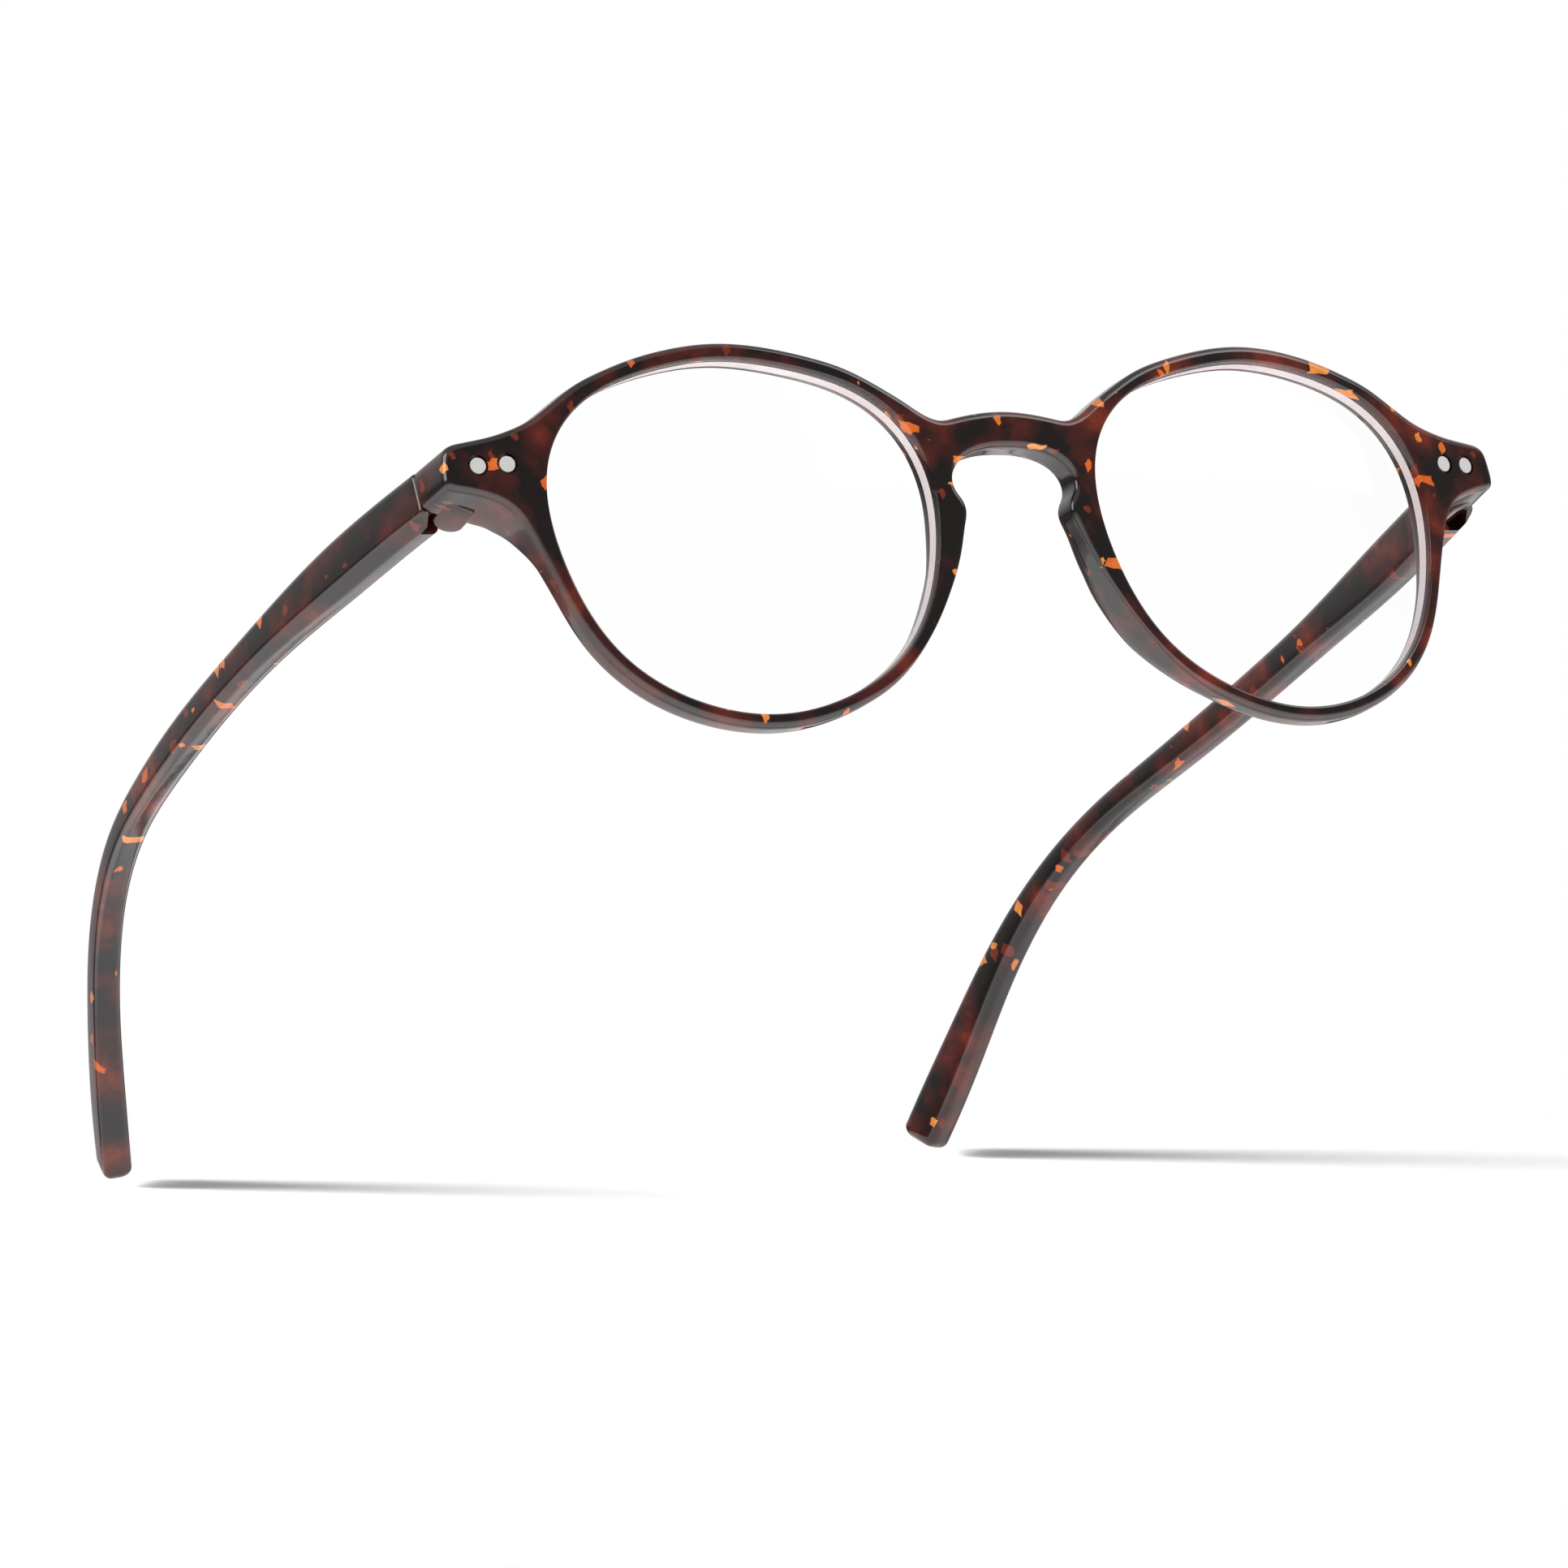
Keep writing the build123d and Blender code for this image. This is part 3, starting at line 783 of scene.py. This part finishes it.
def lens_mesh(side):
    shell = Shell()
    edge = eye_loop(1, -EDGE_SLACK, 0.6)
    centre = np.array([EYE_X, EYE_Z])
    turn = EYE_X / WRAP_R
    faces = []
    for radius, base in ((LENS_FRONT_R, -LENS_BULGE), (LENS_BACK_R, -LENS_BULGE + LENS_CENTRE_T)):
        rings = []
        for share in np.r_[0.002, np.linspace(0.06, 1, 20)]:
            flat = centre + (edge - centre) * share
            away = np.linalg.norm(flat - centre, axis=1)
            sag = radius - np.sqrt(radius ** 2 - away ** 2)
            lean = EYE_X ** 2 / (2 * WRAP_R) + (flat[:, 0] - EYE_X) * turn
            rings.append(shell.add(stood(flat[:, 0], base + sag + lean, flat[:, 1])))
        faces.append(rings)
    for rings, flip in ((faces[0], True), (faces[1], False)):
        for low, high in zip(rings, rings[1:]):
            shell.band(low, high, flip=not flip)
        shell.cap(rings[0], flip)
    edge_start = len(shell.faces)
    shell.band(faces[0][-1], faces[1][-1])
    mesh = shell.build("lens_mesh")
    for poly in list(mesh.polygons)[edge_start:]:
        poly.material_index = 1
    return mesh if side > 0 else mirrored_mesh(mesh)


# ---- node helpers ----
PER_MM = (1000, 1000, 1000)


def new_material(name):
    material = bpy.data.materials.new(name)
    material.use_nodes = True
    tree = material.node_tree
    tree.nodes.clear()
    out = tree.nodes.new("ShaderNodeOutputMaterial")
    return material, tree, out


def node(tree, kind, **inputs):
    made = tree.nodes.new(kind)
    for key, value in inputs.items():
        made.inputs[key.replace("_", " ")].default_value = value
    return made


def ramp(tree, fac, stops, mode="LINEAR"):
    made = tree.nodes.new("ShaderNodeValToRGB")
    made.color_ramp.interpolation = mode
    elements = made.color_ramp.elements
    while len(elements) < len(stops):
        elements.new(0.5)
    for element, (place, color) in zip(elements, stops):
        element.position = place
        element.color = (*color, 1)
    tree.links.new(fac, made.inputs["Fac"])
    return made.outputs["Color"]


def mix_color(tree, fac, first, second, blend="MIX"):
    made = tree.nodes.new("ShaderNodeMix")
    made.data_type = "RGBA"
    made.blend_type = blend
    for socket, value in ((made.inputs[0], fac), (made.inputs[6], first), (made.inputs[7], second)):
        if isinstance(value, bpy.types.NodeSocket):
            tree.links.new(value, socket)
        elif isinstance(value, (int, float)):
            socket.default_value = value
        else:
            socket.default_value = (*value, 1)
    return made.outputs[2]


def maths(tree, operation, first, second=0.0):
    made = tree.nodes.new("ShaderNodeMath")
    made.operation = operation
    for socket, value in zip(made.inputs, (first, second)):
        if isinstance(value, bpy.types.NodeSocket):
            tree.links.new(value, socket)
        else:
            socket.default_value = value
    return made.outputs[0]


def object_coords(tree, scale, offset):
    coords = tree.nodes.new("ShaderNodeTexCoord")
    mapping = tree.nodes.new("ShaderNodeMapping")
    mapping.inputs["Scale"].default_value = scale
    mapping.inputs["Location"].default_value = offset
    tree.links.new(coords.outputs["Object"], mapping.inputs["Vector"])
    return mapping.outputs["Vector"]


def noise(tree, vector, scale, detail=2.0, rough=0.5):
    made = node(tree, "ShaderNodeTexNoise", Scale=scale, Detail=detail, Roughness=rough)
    tree.links.new(vector, made.inputs["Vector"])
    return made.outputs["Fac"], made.outputs["Color"]


def warp(tree, vector, color, amount):
    centred = tree.nodes.new("ShaderNodeVectorMath")
    centred.operation = "SUBTRACT"
    tree.links.new(color, centred.inputs[0])
    centred.inputs[1].default_value = (0.5, 0.5, 0.5)
    scaled = tree.nodes.new("ShaderNodeVectorMath")
    scaled.operation = "SCALE"
    scaled.inputs["Scale"].default_value = amount
    tree.links.new(centred.outputs[0], scaled.inputs[0])
    summed = tree.nodes.new("ShaderNodeVectorMath")
    summed.operation = "ADD"
    tree.links.new(vector, summed.inputs[0])
    tree.links.new(scaled.outputs[0], summed.inputs[1])
    return summed.outputs[0]


# ---- tortoiseshell: near-black brown, soft deep red clouds, sharp amber shards ----
BLACK_BROWN = (0.0060, 0.0030, 0.0028)
DEEP_RED = (0.050, 0.0068, 0.0045)
RED_BROWN = (0.15, 0.019, 0.007)
AMBER = (0.60, 0.090, 0.006)
GOLD = (0.78, 0.29, 0.05)


def turned_coords(tree, mm, angle, stretch):
    mapping = tree.nodes.new("ShaderNodeMapping")
    mapping.inputs["Rotation"].default_value = angle
    mapping.inputs["Scale"].default_value = stretch
    tree.links.new(mm, mapping.inputs["Vector"])
    return mapping.outputs["Vector"]


def shards(tree, mm, angle, stretch, scale, share, reach):
    """Straight-sided flakes: a few of the cells of a cell pattern, each clipped short."""
    coords = turned_coords(tree, mm, angle, stretch)
    _, wobble = noise(tree, coords, scale * 2.2, 1.0)
    coords = warp(tree, coords, wobble, 0.5)
    cells = node(tree, "ShaderNodeTexVoronoi", Scale=scale, Randomness=1.0)
    cells.distance = "MANHATTAN"
    tree.links.new(coords, cells.inputs["Vector"])
    pick = tree.nodes.new("ShaderNodeSeparateColor")
    tree.links.new(cells.outputs["Color"], pick.inputs[0])
    chosen = maths(tree, "GREATER_THAN", pick.outputs["Red"], 1 - share)
    near = ramp(tree, cells.outputs["Distance"], [(reach, (1, 1, 1)), (reach + 0.05, (0, 0, 0))])
    return maths(tree, "MULTIPLY", chosen, near), pick.outputs["Green"], pick.outputs["Blue"]


def tortoiseshell(name, offset, run_angle):
    material, tree, out = new_material(name)
    mm = object_coords(tree, PER_MM, offset)
    cloud_coords = turned_coords(tree, mm, run_angle, (0.8, 0.8, 0.8))
    cloud, _ = noise(tree, cloud_coords, 0.17, 3.0, 0.55)
    color = ramp(tree, cloud, [(0.44, BLACK_BROWN), (0.56, DEEP_RED), (0.70, RED_BROWN)])
    crossing = (run_angle[0] + 0.7, run_angle[1] + 0.5, run_angle[2] - 0.9)
    groups = [(run_angle, (0.45, 1.3, 1.0), 0.46, 0.12, 0.52),
              (crossing, (1.2, 0.5, 0.9), 0.62, 0.10, 0.48)]
    for angle, stretch, scale, share, reach in groups:
        mask, tone, glow = shards(tree, mm, angle, stretch, scale, share, reach)
        grain, _ = noise(tree, mm, 0.9, 3.0)
        tone_mix = maths(tree, "MULTIPLY", tone, grain)
        tone_wide = maths(tree, "MULTIPLY", tone_mix, 1.6)
        amber = mix_color(tree, tone_wide, AMBER, GOLD)
        deep = mix_color(tree, maths(tree, "GREATER_THAN", glow, 0.45), RED_BROWN, amber)
        color = mix_color(tree, mask, color, deep)
    haze, _ = noise(tree, mm, 2.5, 2.0)
    color = mix_color(tree, maths(tree, "MULTIPLY", haze, 0.35), color, BLACK_BROWN)
    shader = node(tree, "ShaderNodeBsdfPrincipled", Roughness=0.08, IOR=1.5)
    shader.inputs["Coat Weight"].default_value = 0.3
    shader.inputs["Coat Roughness"].default_value = 0.03
    ripple, _ = noise(tree, mm, 0.30, 1.0)
    bump = node(tree, "ShaderNodeBump", Strength=0.12, Distance=0.00025)
    tree.links.new(ripple, bump.inputs["Height"])
    tree.links.new(bump.outputs[0], shader.inputs["Normal"])
    tree.links.new(bump.outputs[0], shader.inputs["Coat Normal"])
    tree.links.new(color, shader.inputs["Base Color"])
    tree.links.new(shader.outputs[0], out.inputs["Surface"])
    return material


def satin_steel(name, color, rough, grain):
    material, tree, out = new_material(name)
    mm = object_coords(tree, PER_MM, (0, 0, 0))
    fac, _ = noise(tree, mm, grain, 4.0, 0.7)
    shade = mix_color(tree, fac, tuple(c * 0.86 for c in color), color)
    rough_value = maths(tree, "MULTIPLY_ADD", fac, 0.18)
    rough_value.node.inputs[2].default_value = rough
    shader = node(tree, "ShaderNodeBsdfPrincipled", Metallic=1.0)
    tree.links.new(shade, shader.inputs["Base Color"])
    tree.links.new(rough_value, shader.inputs["Roughness"])
    bump = node(tree, "ShaderNodeBump", Strength=0.18, Distance=0.00003)
    tree.links.new(fac, bump.inputs["Height"])
    tree.links.new(bump.outputs[0], shader.inputs["Normal"])
    tree.links.new(shader.outputs[0], out.inputs["Surface"])
    return material


def clear_lens(name):
    material, tree, out = new_material(name)
    glossy = node(tree, "ShaderNodeBsdfGlossy", Roughness=0.02)
    clear = tree.nodes.new("ShaderNodeBsdfTransparent")
    clear.inputs["Color"].default_value = (0.998, 0.999, 0.999, 1)
    fresnel = node(tree, "ShaderNodeFresnel", IOR=1.25)
    part = maths(tree, "MULTIPLY", fresnel.outputs[0], 0.2)
    mixed = tree.nodes.new("ShaderNodeMixShader")
    tree.links.new(part, mixed.inputs[0])
    tree.links.new(clear.outputs[0], mixed.inputs[1])
    tree.links.new(glossy.outputs[0], mixed.inputs[2])
    tree.links.new(mixed.outputs[0], out.inputs["Surface"])
    return material


def ground_edge(name):
    """The frosted edge of a lens, ground to the rim: pale, with a faint pink tint and pink-red patches
    painted in as a reflection of the moulding behind it.
    """
    material, tree, out = new_material(name)
    mm = object_coords(tree, PER_MM, (0, 0, 0))
    grain, _ = noise(tree, mm, 3.0, 4.0, 0.7)
    painted_pink_reflection, _ = noise(tree, mm, 0.18, 2.0)
    # pale frosted glass in two tones; the faint pink in both is a painted reflection of the moulding
    pale = mix_color(tree, grain, (0.62, 0.55, 0.56), (0.82, 0.78, 0.79))
    # painted reflection: broad pink-red patches of the moulding behind the edge, mixed into its pale colour
    color = mix_color(tree, maths(tree, "MULTIPLY", painted_pink_reflection, 0.55), pale, (0.42, 0.25, 0.24))
    shader = node(tree, "ShaderNodeBsdfPrincipled", Roughness=0.42, IOR=1.5)
    tree.links.new(color, shader.inputs["Base Color"])
    bump = node(tree, "ShaderNodeBump", Strength=0.3, Distance=0.00004)
    tree.links.new(grain, bump.inputs["Height"])
    tree.links.new(bump.outputs[0], shader.inputs["Normal"])
    tree.links.new(shader.outputs[0], out.inputs["Surface"])
    return material


def pale_floor(name):
    material, tree, out = new_material(name)
    mm = object_coords(tree, PER_MM, (0, 0, 0))
    grain, _ = noise(tree, mm, 0.4, 2.0)
    color = mix_color(tree, grain, (0.36, 0.36, 0.36), (0.38, 0.38, 0.38))
    diffuse = tree.nodes.new("ShaderNodeBsdfDiffuse")
    tree.links.new(color, diffuse.inputs["Color"])
    tree.links.new(diffuse.outputs[0], out.inputs["Surface"])
    return material


def set_material(obj, *materials):
    kept = [p.material_index for p in obj.data.polygons]
    obj.data.materials.clear()
    for material in materials:
        obj.data.materials.append(material)
    if len(materials) > 1:
        obj.data.polygons.foreach_set("material_index", kept)


# ---- world, lights and floor ----
WHITE = 1.0
BELOW = 2.3
LEVEL = 0.28
ABOVE = 0.9


def add_world():
    world = bpy.data.worlds.new("studio")
    bpy.context.scene.world = world
    world.use_nodes = True
    tree = world.node_tree
    tree.nodes.clear()
    out = tree.nodes.new("ShaderNodeOutputWorld")
    coords = tree.nodes.new("ShaderNodeTexCoord")
    split = tree.nodes.new("ShaderNodeSeparateXYZ")
    tree.links.new(coords.outputs["Generated"], split.inputs[0])
    height = maths(tree, "MULTIPLY_ADD", split.outputs["Z"], 0.5)
    height.node.inputs[2].default_value = 0.5
    sky = ramp(tree, height, [(0.0, (BELOW,) * 3), (0.36, (BELOW * 0.8,) * 3), (0.50, (LEVEL,) * 3),
                              (0.62, (LEVEL * 0.6,) * 3), (0.8, (ABOVE,) * 3), (1.0, (ABOVE * 0.6,) * 3)])
    path = tree.nodes.new("ShaderNodeLightPath")
    color = mix_color(tree, path.outputs["Is Camera Ray"], sky, (WHITE,) * 3)
    background = tree.nodes.new("ShaderNodeBackground")
    tree.links.new(color, background.inputs["Color"])
    tree.links.new(background.outputs[0], out.inputs["Surface"])


def area_light(name, at, size, power, aim=(0, 0, 0.02)):
    data = bpy.data.lights.new(name, "AREA")
    data.shape = "RECTANGLE"
    data.size, data.size_y = size
    data.energy = power
    lamp = link(bpy.data.objects.new(name, data))
    lamp.location = at
    lamp.rotation_euler = (Vector(aim) - Vector(at)).to_track_quat("-Z", "Y").to_euler()
    return lamp


FLOOR_SLOPE = math.radians(36)
FLOOR_ACROSS = (-0.16, 0.24)
FLOOR_DOWN = (-0.004, 0.16)
FLOOR_POINTS = 9
FLOOR_GAP = 0.0004
FLOOR_LIGHT_AT = (-2.7, 0.06, 0.75)
FLOOR_LIGHT_SIZE = (0.6, 0.6)
FLOOR_LIGHT_POWER = 950
FLOOR_LIGHT_AIM = (0, 0.06, 0)


def add_floor(material):
    """A plain pale surface through both temple tips, sloping down under the front."""
    tip_y = cad_box[1][1]
    shell = Shell()
    across = np.linspace(*FLOOR_ACROSS, FLOOR_POINTS)
    down = np.linspace(*FLOOR_DOWN, FLOOR_POINTS)
    rows = []
    for d in down:
        y = tip_y - d * math.cos(FLOOR_SLOPE)
        z = -d * math.sin(FLOOR_SLOPE) - FLOOR_GAP
        rows.append(shell.add([(x / MM, y / MM, z / MM) for x in across]))
    for low, high in zip(rows, rows[1:]):
        for i in range(len(across) - 1):
            shell.faces.append((low[i], high[i], high[i + 1], low[i + 1]))
    floor = link(bpy.data.objects.new("floor", shell.build("floor")))
    floor.data.materials.append(material)
    lit = bpy.data.collections.new("lit_by_floor_light")
    lit.objects.link(floor)
    lamp = area_light("floor_light", FLOOR_LIGHT_AT, FLOOR_LIGHT_SIZE, FLOOR_LIGHT_POWER, FLOOR_LIGHT_AIM)
    lamp.light_linking.receiver_collection = lit


# ---- the object ----
add_camera()
add_world()
area_light("key_light", (-1.15, -0.45, 0.62), (0.8, 0.8), 9)
area_light("fill_light", (0.8, -0.9, 0.55), (0.6, 0.5), 2.5)
bpy.context.scene.view_settings.view_transform = "Standard"

shell_front = tortoiseshell("tortoiseshell_front", (3.0, 1.0, 7.0), (0.0, 0.6, 0.0))
shell_right = tortoiseshell("tortoiseshell_temple_right", (40.0, 11.0, 5.0), (0.0, 0.0, 1.1))
shell_left = tortoiseshell("tortoiseshell_temple_left", (80.0, 5.0, 9.0), (0.0, 0.0, 1.1))
rivet_steel = satin_steel("rivet_steel", (0.66, 0.645, 0.63), 0.50, 7.0)
hinge_steel = satin_steel("hinge_steel", (0.62, 0.61, 0.60), 0.30, 6.0)
lens_clear = clear_lens("lens_clear")
lens_edge = ground_edge("lens_ground_edge")
floor_pale = pale_floor("floor_pale")
add_floor(floor_pale)

for name, obj in nodes.items():
    obj.data.polygons.foreach_set("use_smooth", [True] * len(obj.data.polygons))
    set_material(obj, rivet_steel if name.startswith("rivet") else hinge_steel)


def place(name, mesh, body, node_name, slot, materials):
    obj = link(bpy.data.objects.new(name, mesh))
    set_material(obj, *materials)
    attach(obj, body)
    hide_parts(node_name)
    return obj


front = link(bpy.data.objects.new("front_moulding", front_shell()))
half_tongue = tongue()
combined(front, joined("tongues", [half_tongue, mirrored_mesh(half_tongue)]), "UNION")
cutters = front_cutters()
combined(front, joined("cutters", cutters + [mirrored_mesh(c) for c in cutters]), "DIFFERENCE")
finished(front)
set_material(front, shell_front)
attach(front, "front")
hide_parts("front_frame")

arm = link(bpy.data.objects.new("temple_moulding_left", temple_mesh()))
for cutter in temple_cutters():
    combined(arm, cutter, "DIFFERENCE")
finished(arm)
arm_meshes = {"left": arm.data, "right": mirrored_mesh(arm.data)}
bpy.data.objects.remove(arm)
for side, shell_material in (("left", shell_left), ("right", shell_right)):
    place("temple_moulding_" + side, arm_meshes[side], "temple_" + side, "temple_" + side,
          "temple_plastic", [shell_material])
    glass = lens_mesh(1 if side == "left" else -1)
    lens = place("lens_glass_" + side, glass, "front", "lens_" + side, "lens", [lens_clear, lens_edge])
    lens.data.polygons.foreach_set("use_smooth", [True] * len(lens.data.polygons))
    lens.data.set_sharp_from_angle(angle=math.radians(35))
